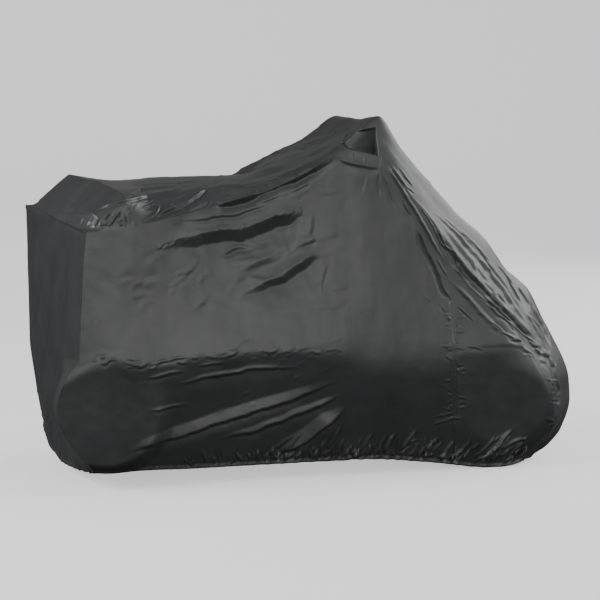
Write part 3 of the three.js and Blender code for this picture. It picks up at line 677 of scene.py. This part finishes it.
# The folds that run down the slope from the peak
SLOPE_FOLDS = [
    ("384,162 396,180 406,196 416,212 424,226 432,240 440,254 449,268", 12, 9, 22, 6, -2, 0.2, 0.3, 1.4),
    ("436,256 442,267 449,278", 6, 6, 8, 3, -2, 0.3, 0.3, 1.3),
    ("412,196 424,210 432,221 440,234 446,246 458,260 466,270 473,280", 7, 5, 9, 4, -2, 0.25, 0.3, 1.2),
    ("416,202 428,218 436,232 443,246 452,258", 5, 5, 7, 3, -2, 0.25, 0.3, 1.2),
    ("424,206 434,222 446,240 458,256 470,273 482,285 494,296 507,311 522,326 538,342",
     20, 12, 34, 10, -3, 0.45, 0.12, 1.2),
    ("446,276 456,286 468,298 476,307 485,317 494,326 508,339", 16, 12, 20, 5, -2, 0.3, 0.25, 1.2),
    ("440,222 455,240 470,258 485,278 500,298 513,314", 20, 14, 20, 3, -7, 0.3, 0.3, 1.4),
    ("428,208 445,222 458,235 469,248 482,262 493,276 505,292 515,308 526,323 536,338",
     14, 10, 12, 7, -4, 0.3, 0.2, 1.2),
    ("440,214 455,228 468,240 480,252", 9, 7, 8, 4, -3),
    ("476,246 488,262 500,278 512,296 522,312 534,332", 10, 7, 10, 4, -5),
    ("492,284 498,295 506,307", 6, 5, 8, 2, -5),
    ("506,274 514,289 523,306", 6, 5, 8, 2, -6),
    ("517,284 524,295 532,308", 6, 5, 8, 2, -6),
    ("496,262 506,274 516,288", 7, 5, 7, 4, -3),
    ("530,300 538,315 548,334 552,350", 8, 7, 12, 3, -8),
    ("524,310 534,326 544,344", 8, 6, 9, 4, -3),
    ("452,224 466,236 482,252 496,270", 8, 6, 8, 4, -2),
]
# The cheek beside the peak
CHEEK_FOLDS = [
    ("388,162 396,172 404,184 412,198", 8, 6, 9, 3, -3),
    ("391,166 399,178 406,186 418,196", 7, 5, 8, 2, -3),
    ("398,166 405,176 414,187", 7, 6, 7, 3, -2, 0.3, 0.3, 1.2),
    ("404,202 408,210 413,218", 6, 5, 8, 2, -5, 0.3, 0.3, 1.2),
    ("385,174 390,190 396,209", 10, 8, 14, 1, -3.5, 0.3, 0.3, 1.5),
    ("380,172 380.5,186 381,199", 8, 6, 10, 0.5, -3, 0.3, 0.4, 1.5),
    ("368,172 366,184 362,196", 8, 7, 9, 1, -1, 0.4, 0.4, 1.5),
]
# The peak, and the rim down the nose
PEAK_FOLDS = [
    ("335,158 350,163 362,165.5 380,168", 12, 9, 22, 4, -3, 0.3, 0.15, 1.3),
    ("380.5,172 380.5,164 380.5,154", 6, 6, 8, 3, -1, 0.3, 0.3, 1.2),
    ("345,159 346,155 346,150", 4, 4, 4, 2, -1),
    ("352,162 353,158 353,152", 4, 4, 4, 2, -1),
    ("364,165 365,160 365,155", 4, 4, 4, 2, -1),
    ("536,341 546,353 552,364 556,380 557.5,396 556,412 550,430 540,444", 7, 9, 12, 5, -3, 0.15, 0.3, 1.2),
]
# The hem in front, where the cloth slants up from the nose
HEM_FOLDS = [
    ("452,460 460,452 467,444 471,437", 12, 8, 12, 7.5, -5.2),
    ("460,460 468,451 480,441", 10, 7, 12, 6, -5.2),
    ("470,461 480,452 492,441 502,432", 9, 6, 10, 6, -5.2),
    ("477,462 487,452.5 496,443.5 506,433.5 514,427", 16, 9, 14, 12, -7.8),
    ("492,459 501,450 512,441 530,436", 13, 8, 13, 9, -6.5),
    ("509,461 517,451 526,443", 10, 7, 10, 7.5, -5.2),
    ("441,458 450,447 455,438", 10, 7, 11, 7.5, -5.2),
    ("418,456 431,445 440,436", 12, 8, 12, 7.5, -6.5),
    ("400,452 408,441 418,428", 11, 7, 11, 7.5, -5.2),
    ("402,447 410,443 421,439", 8, 6, 9, 3, -3, 0.3, 0.3, 1),
    ("384,454 390,442 397,431", 11, 7, 11, 7.5, -6.5),
    ("376,455 382,444 388,432", 9, 6, 10, 6, -6.5),
    ("360,454 366,444 374,431", 11, 7, 10, 7.5, -5.2),
    ("352,455 358,445 364,436", 9, 6, 10, 4.5, -6.5),
    ("326,455 332,444 338,432 341,424", 11, 7, 10, 7.5, -5.2),
    ("312,457 321,447 329,437", 10, 7, 10, 6, -5.2),
]
# The slack cloth below the peak, which has sunk in between these corners
HOLLOW = "341,144 347,132 376,127 378,156 348,149"
HOLLOW_DEPTH = 56
HOLLOW_LEAST = 0.1  # share of that depth at its upper edge
HOLLOW_EDGE = 2.0
HOLLOW_FACING = (0.0, 0.05)
SIDE_FACING = (0.0, 0.09)  # how squarely a place must face the camera for these folds


def in_picture(place):
    """Where points, in millimetres, lie in the picture."""
    reach = place * MM - (VIEW_AIM + view_back * VIEW_DISTANCE)
    depth = -(reach @ view_back)
    scale = VIEW_LENS / SENSOR * PICTURE
    off = np.stack([reach @ view_right, -(reach @ view_up)], -1)
    return PICTURE / 2 + scale * off / depth[:, None]


PIXEL_MM = VIEW_DISTANCE / MM / (VIEW_LENS / SENSOR * PICTURE)

# Small creases, scattered by a fixed throw of dice: from a line of starts, so many, leaning so far
# to the right of upright (degrees, and their spread), so long, wide and high.
CREASE_COLUMNS = ("starts", "depth", "count", "lean", "spread", "short", "long", "width", "high", "flat")
SIDE_CREASES = [
    ("95,470 185,466", 1, 16, 0, 22, 2, 6, 5, 2.5, 1.2),
    ("185,466 262,462", 2, 24, -4, 20, 6, 24, 8, 6, 1.2),
    ("262,462 400,457", 3, 46, 26, 14, 8, 30, 8, 7.5, 1.1),
    ("400,458 452,463", 4, 22, 36, 14, 8, 32, 8, 7.5, 1.1),
    ("452,463 525,464", 6, 22, 46, 9, 12, 44, 8, 8, 1),
    ("186,466 300,461 400,458 535,466", 2, 90, 18, 26, 3, 12, 6, 3, 1.2),
    ("452,306 453,412", 0, 20, -84, 14, 4, 24, 6, 2.4, 1.2),
    ("455,306 455,412", 0, 20, 88, 14, 4, 22, 6, 2.4, 1.2),
    ("110,345 330,300", 120, 34, 70, 24, 20, 70, 22, 1.2, 1.5),
    ("100,222 220,200", 26, 40, 66, 12, 8, 34, 7, 1.8, 1.3),
    ("215,210 335,160", 24, 24, 66, 7, 12, 40, 8, 1.8, 1.4),
    ("190,172 335,140", 20, 26, 72, 8, 20, 60, 11, 3, 1.3),
    ("88,363 122,367 140,371 198,360 262,354 335,355", 6, 40, 80, 10, 6, 30, 8, 3, 1.2),
    ("152,252 300,214", 3, 40, 62, 26, 3, 12, 6, 2.4, 1.2),
    ("90,231 150,224", 8, 14, 28, 30, 3, 9, 6, 2.2, 1.2),
    ("190,440 335,380", 50, 16, 68, 10, 8, 26, 8, 1.4, 1.2),
    ("200,372 310,366", 16, 18, 76, 8, 8, 24, 6, 1.8, 1.2),
    ("500,322 548,356", 26, 14, -42, 7, 16, 50, 9, 4, 1.2),
    ("440,250 505,330", 40, 8, -40, 6, 30, 80, 9, 3, 1.3),
    ("500,330 552,372", 18, 14, -50, 14, 8, 24, 10, 3.4, 1.2),
    ("34,420 60,470", 26, 34, 10, 20, 5, 18, 8, 3.5, 1.2),
    ("30,240 34,370", 4, 10, 0, 6, 14, 40, 9, 1.8, 1.3),
    ("552,366 558,400 553,436", 8, 12, -70, 30, 8, 22, 9, 2.2, 1.2),
]
CREASE_LENGTHS = (1.1, 2.6)  # shape of the beta curve that the lengths follow
CREASE_BOW = 0.07
CREASE_WIDTHS = (0.7, 1.35)
CREASE_HEIGHTS = (0.35, 1.2)
CREASE_FLIPPED = 0.4  # share of creases that run the other way
CREASE_FALL, CREASE_FOOT, CREASE_LOW = 0.8, 1.3, -0.6  # shares of width, width and high
CREASE_ENDS = 0.35
SIDE_SEED = 100


def scatter(row, seed):
    """The creases of one row, scattered, with their profiles."""
    zone = dict(zip(CREASE_COLUMNS, row))
    dice = np.random.default_rng(seed)
    starts = path(zone["starts"])
    for _ in range(zone["count"]):
        start = through(np.arange(len(starts)), starts, dice.uniform(0, len(starts) - 1, 1))[0]
        start = start - [0, dice.uniform(0, zone["depth"])]
        lean = math.radians(zone["lean"] + dice.normal(0, zone["spread"]))
        length = zone["short"] + (zone["long"] - zone["short"]) * dice.beta(*CREASE_LENGTHS)
        run = length * np.array([math.sin(lean), -math.cos(lean)])
        bow = dice.normal(0, CREASE_BOW) * np.array([run[1], -run[0]])
        line = [start, start + 0.5 * run + bow, start + run]
        width = zone["width"] * dice.uniform(*CREASE_WIDTHS)
        high = zone["high"] * dice.uniform(*CREASE_HEIGHTS)
        if dice.random() < CREASE_FLIPPED:
            line = line[::-1]
        profile = [width, CREASE_FALL * width, CREASE_FOOT * width, high, CREASE_LOW * high]
        yield line, dict(zip(FOLD_COLUMNS, profile + [CREASE_ENDS, CREASE_ENDS, zone["flat"]]))


side_folds = (
    folds(LONG_TROUGHS, 0.4, 0.4, 1.6) + folds(REAR_WRINKLES, 0.4, 0.4, 1.4)
    + folds(CORNER_FAN, 0.4, 0.4, 1.3) + folds(REAR_PUCKERS, 0.35, 0.35, 1.2)
    + folds(LOWER_BANDS, 0.3, 0.3, 1.0) + folds(SEAM_FOLDS, 0.3, 0.3, 1.4)
    + folds(SLOPE_FOLDS, 0.3, 0.3, 1.2) + folds(CHEEK_FOLDS, 0.3, 0.3, 1.3)
    + folds(PEAK_FOLDS, 0.3, 0.3, 1.0) + folds(HEM_FOLDS, 0.25, 0.35, 1.0)
)
for number, row in enumerate(SIDE_CREASES):
    side_folds += scatter(row, SIDE_SEED + number)
FAR_SIDE_SLIP = (9.0, 30.0)  # pixels by which the left side's folds lie elsewhere, in waves
FAR_SIDE_SHARE = 0.8
side_share = {}


def side_height(name, place, direction):
    """Height of the folds that show from the side, on the near side and likewise on the far one."""
    height = np.zeros(len(place))
    side_share[name] = np.zeros(len(place))
    for side in (1, -1):
        turned = place * np.array([1, side, 1])
        weight = smooth(direction * np.array([1, side, 1]) @ view_back, *SIDE_FACING)
        seen = np.flatnonzero(weight > 0)
        spot = in_picture(turned[seen])
        if side < 0:
            spot[:, 0] += FAR_SIDE_SLIP[0] * np.sin(spot[:, 1] / FAR_SIDE_SLIP[1])
            weight = weight * FAR_SIDE_SHARE * (1 - side_share[name])
        side_share[name] = np.maximum(side_share[name], weight)
        part = np.zeros(len(seen))
        for seed, (line, fold) in enumerate(side_folds):
            part += fold_height(spot, line, fold, PIXEL_MM, seed)
        height[seen] += weight[seen] * part
    return height


def hollow_depth(place, direction):
    """How far the slack cloth below the peak has sunk away from the camera, deeper below."""
    spot = in_picture(place)
    corners = path(HOLLOW)
    inside = np.full(len(spot), np.inf)
    for a, b in zip(corners, np.roll(corners, -1, axis=0)):
        leg = (b - a) / np.linalg.norm(b - a)
        inside = np.minimum(inside, (spot - a) @ np.array([-leg[1], leg[0]]))
    below = np.clip((spot[:, 1] - corners[:, 1].min()) / np.ptp(corners[:, 1]), 0, 1)
    near = smooth(direction @ view_back, *HOLLOW_FACING) * (place[:, 1] < 0)
    depth = HOLLOW_DEPTH * (HOLLOW_LEAST + (1 - HOLLOW_LEAST) * below)
    return depth * smooth(inside, 0.0, HOLLOW_EDGE) * near


# Folds of the top, drawn on a plan from above, in millimetres to the front and to the left. They
# fan out from the peak down the slope and lie along the low part behind it.
TOP_FOLDS = [
    ("-650,-120 -380,-150 -110,-190", 40, 26, 50, 5, -4, 0.3, 0.3, 1.5),
    ("-600,60 -360,40 -100,90", 40, 30, 50, 5, -4, 0.3, 0.3, 1.5),
    ("-520,170 -300,180 -60,250", 36, 26, 50, 5, -5, 0.3, 0.3, 1.5),
    ("-560,-30 -330,-60 -90,-70", 30, 20, 40, 3, -3, 0.3, 0.3, 1.5),
    ("290,-250 560,-200 880,-150", 40, 22, 60, 9, -8),
    ("350,-160 620,-120 960,-60", 40, 22, 60, 9, -7),
    ("320,-60 600,-20 930,30", 46, 26, 60, 8, -9),
    ("330,70 620,90 960,110", 44, 24, 60, 10, -8),
    ("320,170 560,160 840,160", 36, 20, 50, 6, -7),
    ("310,260 520,230 800,210", 40, 22, 50, 8, -8),
    ("480,10 700,60 1000,80", 22, 14, 30, 5, -4, 0.3, 0.3, 1.3),
    ("420,-120 640,-60 900,-20", 22, 14, 30, 5, -4, 0.3, 0.3, 1.3),
    ("-905,-300 -925,-100 -935,100 -905,330", 30, 20, 30, 3, -6, 0.2, 0.2, 1.5),
]
TOP_CREASES = [
    ("300,-230 300,260", 40, 26, 90, 8, 160, 460, 20, 4, 1.3),
    ("560,-200 560,220", 60, 26, 90, 8, 140, 400, 18, 4, 1.3),
    ("-700,-200 -700,260", 40, 36, 86, 12, 100, 420, 20, 2.4, 1.4),
    ("-150,-260 -150,280", 40, 30, 80, 12, 80, 260, 20, 2.6, 1.4),
    ("-900,-320 -900,340", 20, 30, 90, 25, 30, 110, 16, 2, 1.3),
]
TOP_SEED = 300
TOP_FACING = (0.25, 0.5)  # how far up a place must face for these folds
top_folds = folds(TOP_FOLDS, 0.25, 0.3, 1.3)
for number, row in enumerate(TOP_CREASES):
    top_folds += scatter(row, TOP_SEED + number)


def top_height(place, direction):
    """Height of the folds of the top."""
    drawn = place - DRAWING_SHIFT
    weight = smooth(direction[:, 2], *TOP_FACING)
    seen = np.flatnonzero(weight > 0)
    part = np.zeros(len(seen))
    for seed, (line, fold) in enumerate(top_folds):
        part += fold_height(drawn[seen][:, :2], line, fold, 1.0, seed)
    height = np.zeros(len(place))
    height[seen] = weight[seen] * part
    return height


# Slack: slow unevenness of the cloth everywhere, and a finer one that creasing has left in it.
SLACK_WAVES = [(14, 110, 420, 0.006), (26, 30, 90, 0.005)]  # count, shortest, longest, steepness
SLACK_SEED = 7
slack = []
dice = np.random.default_rng(SLACK_SEED)
for count, shortest, longest, steepness in SLACK_WAVES:
    ways = dice.normal(size=(count, 3))
    ways /= np.linalg.norm(ways, axis=1, keepdims=True)
    lengths = dice.uniform(shortest, longest, count)
    starts = dice.uniform(0, 2 * np.pi, count)
    slack += list(zip(ways, lengths, starts, steepness * lengths / math.sqrt(count)))


def slack_height(place):
    """Height of the slack at places."""
    height = np.zeros(len(place))
    for way, length, start, depth in slack:
        height += depth * np.sin(2 * np.pi * (place @ way) / length + start)
    return height


# Gathers: short creases square to the elastic hem, all the way round, which merge upwards.
HEM_GATHERS = [(17, 24, 0.7), (31, 55, 1.3), (58, 100, 2.4)]  # pitch, reach, rise
GATHER_STARTS = (1.7, 2.3)  # by which each panel's, and each pitch's, begin elsewhere
GATHER_WANDER = [(0.9, 2.9, 1), (0.6, 1.27, 2)]  # swing, span in pitches, turns of its start
GATHER_SPAN = 4.1  # pitches over which they grow and die out
GATHER_FADE = 1.3
GATHER_LEAN = 0.5
RIGHT_GATHERS = (0.25, 0.55)  # strength on the right, where folds are drawn too, and its growth
RIGHT_GROWTH = (-700, -300)
HEM_BAND = 17
HEM_SWELL = 5.0
STITCH_DIP = 1.6
STITCH_HALF = 3.0
SEAM_DIP = 0.6
SEAM_HALF = 3.6


def gathers(way, away, seed):
    """Height of the gathers, way along the hem and away from it."""
    height = np.zeros_like(way)
    for order, (pitch, reach, rise) in enumerate(HEM_GATHERS):
        start = seed * GATHER_STARTS[0] + order * GATHER_STARTS[1]
        wander = sum(
            swing * np.sin(way / (pitch * span) + turns * start) for swing, span, turns in GATHER_WANDER
        )
        wave = 1 - 2 * np.abs(np.sin(np.pi * way / pitch + wander))
        strength = 0.5 + 0.5 * np.sin(way / (pitch * GATHER_SPAN) + 3 * start)
        height += rise * strength * wave * np.clip(1 - away / reach, 0, 1) ** GATHER_FADE
    return height


def run_lengths(points, axis):
    """Way down the rows (axis 0) or along the columns (axis 1) of a net, in millimetres."""
    steps = np.linalg.norm(np.diff(points, axis=axis), axis=-1)
    start = np.zeros_like(np.take(steps, [0], axis=axis))
    return np.concatenate([start, np.cumsum(steps, axis=axis)], axis=axis)


def dip(away, half):
    """A rounded groove, 1 deep."""
    return np.exp(-((away / half) ** 2))


heights = {}
sinks = {}
runs = {}
for number, (name, net) in enumerate(nets.items()):
    flat = net.reshape(-1, 3)
    direction = directions[name].reshape(-1, 3)
    height = side_height(name, flat, direction) + slack_height(flat)
    if name == "top_panel":
        height += (1 - side_share[name]) * top_height(flat, direction)
    height = height.reshape(net.shape[:2])
    down_way = run_lengths(net, 0)
    rise = down_way[-1:] - down_way
    along_way = run_lengths(net, 1)
    if name in ("top_panel", "rear_panel"):
        way = along_way[-1:] + 0 * rise
        seam_way, seam_off = along_way, down_way
    else:
        way = along_way[-1:] + net[:1, :1, 0] - GATHER_LEAN * rise
        seam_way, seam_off = down_way, along_way
        if name.startswith("side"):
            seam_off = along_way[:, -1:] - along_way
    strength = 1.0
    if name.endswith("right"):
        strength = RIGHT_GATHERS[0] + RIGHT_GATHERS[1] * smooth(net[-1:, :, 0], *RIGHT_GROWTH)
    height += strength * gathers(way, rise, number)
    height += HEM_SWELL * np.clip(1 - rise / HEM_BAND, 0, 1)
    height -= STITCH_DIP * dip(rise - HEM_BAND, STITCH_HALF)
    height -= SEAM_DIP * dip(seam_off, SEAM_HALF)
    heights[name] = height
    sinks[name] = hollow_depth(flat, direction).reshape(net.shape[:2])
    runs[name] = {"hem_run": (along_way, rise), "seam_run": (seam_way, seam_off)}

values = np.concatenate([height.ravel() for height in heights.values()])
mean = np.bincount(same, weights=values) / np.bincount(same)
heights = split_up(mean[same], nets)
shapes = {
    name: net + directions[name] * heights[name][..., None] - sinks[name][..., None] * view_back
    + round_push(name, net)[..., None] * np.array([0, 1, 0])
    for name, net in nets.items()
}
settle_seams(shapes)
directions = shared_directions(shapes, same)

# The cloth
# Charcoal polyester taffeta with a coating on its back: a plain weave with a slight sheen, a little
# uneven in tone where it has been folded. A row of stitches in dark thread runs along the hem and
# one beside each seam, and the cloth puckers between the stitches.
CLOTH_TONE = (0.030, 0.031, 0.032, 1.0)
CLOTH_WORN = (0.044, 0.045, 0.047, 1.0)
CLOTH_FINISH = {
    "Roughness": 0.44, "Specular IOR Level": 0.55, "Sheen Weight": 0.04, "Sheen Roughness": 0.4,
}
SLUB_PITCH = 0.0018 * math.pi  # metres between the thicker threads of the weave
WAVE_TURN = 20  # radians that a wave texture turns in a unit
THREAD_TONE = (0.012, 0.012, 0.013, 1.0)
STITCH_PITCH = 0.0042
STITCH_SHARE = 0.7  # of the pitch that the thread lies on top
THREAD_HALF = 0.0007
ROWS = [("hem_run", 0.0150), ("seam_run", 0.0050)]
PUCKER_PITCH = 0.011
PUCKER_REACH = 0.009
cloth = bpy.data.materials.new("coated taffeta")
cloth.use_nodes = True
tree = cloth.node_tree
shader = tree.nodes["Principled BSDF"]
for socket, value in CLOTH_FINISH.items():
    shader.inputs[socket].default_value = value
spots = node(tree, "TexCoord", {}).outputs
mottle = node(tree, "TexNoise", {"Vector": spots["Object"], "Scale": 7.0, "Detail": 6.0, "Roughness": 0.6})
worn = node(tree, "MapRange", {"Value": mottle.outputs["Fac"], "From Min": 0.35, "From Max": 0.75})
tone = node(
    tree, "Mix", {"Factor": worn.outputs["Result"], "A": CLOTH_TONE, "B": CLOTH_WORN}, data_type="RGBA"
)
crumple = node(tree, "TexNoise", {"Vector": spots["Object"], "Scale": 34.0, "Detail": 5.0})
crumpled = node(tree, "Bump", {"Strength": 0.16, "Distance": 0.004, "Height": crumple.outputs["Fac"]})


def sums(operation, *values):
    """The result of one sum of numbers and of other nodes' results."""
    return node(tree, "Math", dict(enumerate(values)), operation=operation).outputs["Value"]


slub_size = 2 * math.pi / (WAVE_TURN * SLUB_PITCH)
slubs = [
    node(tree, "TexWave", {"Vector": spots["UV"], "Scale": slub_size}, bands_direction=way).outputs["Fac"]
    for way in ("X", "Y")
]
woven = node(tree, "Bump", {
    "Strength": 0.15, "Distance": 0.0002,
    "Height": sums("ADD", *slubs), "Normal": crumpled.outputs["Normal"],
})
stitches = []
puckers = []
for run_name, row_away in ROWS:
    run = node(tree, "Attribute", {}, attribute_name=run_name).outputs["Vector"]
    run = node(tree, "SeparateXYZ", {"Vector": run}).outputs
    on_row = sums("LESS_THAN", sums("ABSOLUTE", sums("SUBTRACT", run["Y"], row_away)), THREAD_HALF)
    on_stitch = sums("LESS_THAN", sums("FRACT", sums("DIVIDE", run["X"], STITCH_PITCH)), STITCH_SHARE)
    stitches.append(sums("MULTIPLY", on_row, on_stitch))
    near = sums("MAXIMUM", sums("SUBTRACT", 1.0, sums("DIVIDE", run["Y"], PUCKER_REACH)), 0.0)
    ripple = sums("SINE", sums("MULTIPLY", run["X"], 2 * math.pi / PUCKER_PITCH))
    puckers.append(sums("MULTIPLY", ripple, near))
threaded = node(tree, "Mix", {
    "Factor": sums("MAXIMUM", *stitches), "A": tone.outputs["Result"], "B": THREAD_TONE,
}, data_type="RGBA")
puckered = node(tree, "Bump", {
    "Strength": 0.35, "Distance": 0.002,
    "Height": sums("ADD", *puckers), "Normal": woven.outputs["Normal"],
})
tree.links.new(threaded.outputs["Result"], shader.inputs["Base Color"])
tree.links.new(puckered.outputs["Normal"], shader.inputs["Normal"])
HEM_TURN = 22  # millimetres that the hem is turned up inside
HEM_GAP = 2.2
BEYOND = 1.0  # metres from every seam, for the turned hem, which shows no stitches


def cloth_piece(name):
    """Makes one panel's cloth with its turned hem, ready to be declared."""
    shape = shapes[name]
    direction = directions[name]
    rise = run_lengths(shape[::-1], 0).mean(1)
    count = int(np.searchsorted(rise, HEM_TURN))
    turned = shape[::-1][: count + 1] - HEM_GAP * direction[::-1][: count + 1]
    turned[0] = shape[-1] - 0.5 * HEM_GAP * direction[-1]
    shape = np.concatenate([shape, turned])
    rows, columns = shape.shape[:2]
    index = np.arange(rows * columns).reshape(rows, columns)
    quads = np.stack([index[:-1, :-1], index[1:, :-1], index[1:, 1:], index[:-1, 1:]], -1).reshape(-1, 4)
    if OUTWARD[name] < 0:
        quads = quads[:, ::-1]
    mesh = bpy.data.meshes.new(name + "_cloth")
    mesh.from_pydata((shape.reshape(-1, 3) * MM).tolist(), [], quads.tolist())
    mesh.shade_smooth()
    u = run_lengths(shape, 1).reshape(-1) * MM
    v = run_lengths(shape, 0).reshape(-1) * MM
    uv = mesh.uv_layers.new(name="cut")
    corner_points = np.empty(len(mesh.loops), np.int64)
    mesh.loops.foreach_get("vertex_index", corner_points)
    uv.data.foreach_set("uv", np.stack([u[corner_points], v[corner_points]], -1).ravel())
    for run_name, (way, away) in runs[name].items():
        run = np.full(shape.shape, BEYOND)
        run[: len(way), :, 0] = way * MM
        run[: len(away), :, 1] = away * MM
        mesh.attributes.new(run_name, "FLOAT_VECTOR", "POINT").data.foreach_set("vector", run.ravel())
    mesh.materials.append(cloth)
    return placed(name + "_cloth", mesh)


# The side panels
# One long piece of coated polyester cloth on each side, sewn to the rear panel at the corner seam,
# to the top panel at the shoulder and to the front panel at the upright seam.
for node in ("side_panel_right", "side_panel_left"):
    side_cloth = cloth_piece(node)
    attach(side_cloth, "root")
    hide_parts(node)

# The front panels
# A short piece of the same cloth on each side, cut to the slope, from the upright seam to the nose,
# where it is sewn to the top panel.
for node in ("front_panel_right", "front_panel_left"):
    front_cloth = cloth_piece(node)
    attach(front_cloth, "root")
    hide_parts(node)

# The top panel
# One long strip of the same cloth from the rear seam over the peak, down the slope and nose to the
# front hem, sewn to the sides along both shoulders.
top_cloth = cloth_piece("top_panel")
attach(top_cloth, "root")
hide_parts("top_panel")

# The rear panel
# One piece of the same cloth across the back, sewn between the two corner seams and under the end
# of the top panel, with the same turned hem.
rear_cloth = cloth_piece("rear_panel")
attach(rear_cloth, "root")
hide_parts("rear_panel")
